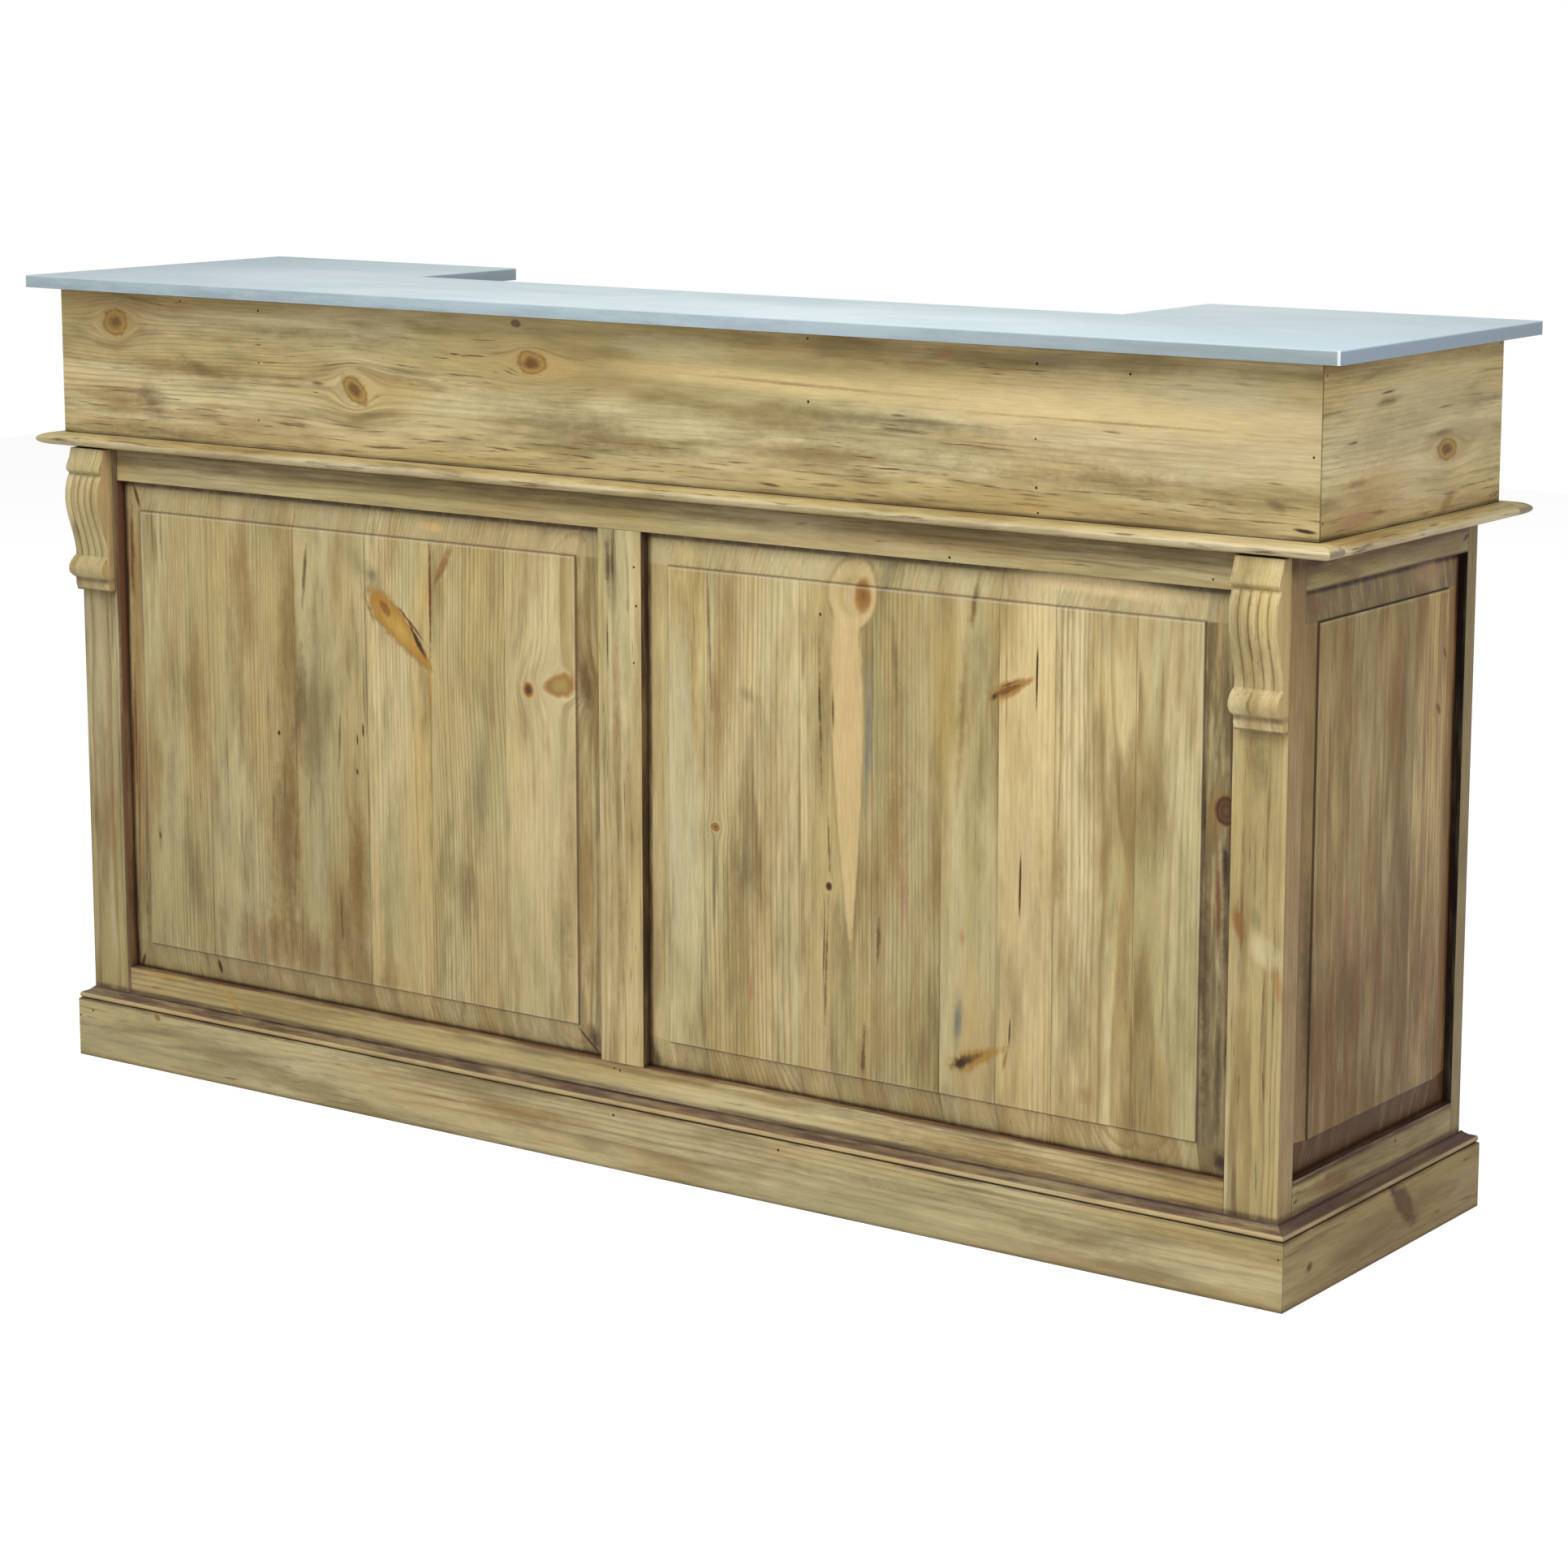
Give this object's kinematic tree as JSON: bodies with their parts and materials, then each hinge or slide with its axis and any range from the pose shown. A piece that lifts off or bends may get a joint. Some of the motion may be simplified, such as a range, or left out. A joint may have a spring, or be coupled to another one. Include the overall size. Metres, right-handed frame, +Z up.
{
  "type": "bar counter",
  "caption": "Long pine bar counter: raised-panel front with reeded corbels, moulded plinth, rounded ledge, boxed fascia and zinc-covered top, with a service recess and open shelves at the back",
  "frame": {"origin": "on the floor, at the middle of the counter's overall length and overall depth", "axes": "+Z up; +X along the counter, to the right of someone who stands in front of it; the panelled front with the corbels faces -Y and the open shelves face +Y"},
  "size_m": [2.0268, 0.5232, 1.1],
  "materials": {
    "zinc_sheet": "dull, wiped sheet zinc with a low gloss",
    "core_board": "plain board, unfinished",
    "pine_frame": "waxed, stained reclaimed pine",
    "pine_panel": "waxed, stained reclaimed pine",
    "pine_moulding": "waxed, stained reclaimed pine",
    "pine_inner": "plain sanded pine"
  },
  "bodies": {
    "root": {"zinc_top": "zinc_sheet", "top_core_front": "core_board", "top_core_left": "core_board", "top_core_right": "core_board", "fascia_front": "pine_frame", "fascia_left": "pine_frame", "fascia_right": "pine_frame", "wing_divider_left": "pine_inner", "wing_divider_right": "pine_inner", "niche_head_rail_left": "pine_inner", "niche_head_rail_right": "pine_inner", "niche_sill_rail_left": "pine_inner", "niche_sill_rail_right": "pine_inner", "bar_top_rear_rail": "pine_inner", "bar_top_cleat": "pine_inner", "ledge_front": "pine_moulding", "ledge_left": "pine_moulding", "ledge_right": "pine_moulding", "ledge_rear": "pine_moulding", "worktop_front_board": "pine_inner", "worktop_rear_board": "pine_inner", "front_post_left": "pine_frame", "front_post_right": "pine_frame", "front_top_rail": "pine_frame", "front_bottom_rail": "pine_frame", "centre_stile": "pine_frame", "front_panel_left": "pine_panel", "front_panel_right": "pine_panel", "rear_post_left": "pine_frame", "rear_post_right": "pine_frame", "rear_top_rail": "pine_frame", "rear_bottom_rail": "pine_frame", "side_top_rail_left": "pine_frame", "side_top_rail_right": "pine_frame", "side_bottom_rail_left": "pine_frame", "side_bottom_rail_right": "pine_frame", "side_panel_left": "pine_panel", "side_panel_right": "pine_panel", "floor_bearer": "pine_inner", "floor_board_left": "pine_inner", "floor_board_right": "pine_inner", "partition": "pine_inner", "shelf_left": "pine_inner", "shelf_right": "pine_inner", "shelf_cleat_inner_left": "pine_inner", "shelf_cleat_inner_right": "pine_inner", "shelf_cleat_outer_left": "pine_inner", "shelf_cleat_outer_right": "pine_inner", "plinth_front": "pine_frame", "plinth_left": "pine_frame", "plinth_right": "pine_frame", "plinth_rear": "pine_frame", "plinth_cap_front": "pine_moulding", "plinth_cap_left": "pine_moulding", "plinth_cap_right": "pine_moulding", "plinth_cap_rear": "pine_moulding", "corbel_left": "pine_moulding", "corbel_right": "pine_moulding"}
  },
  "joints": []
}
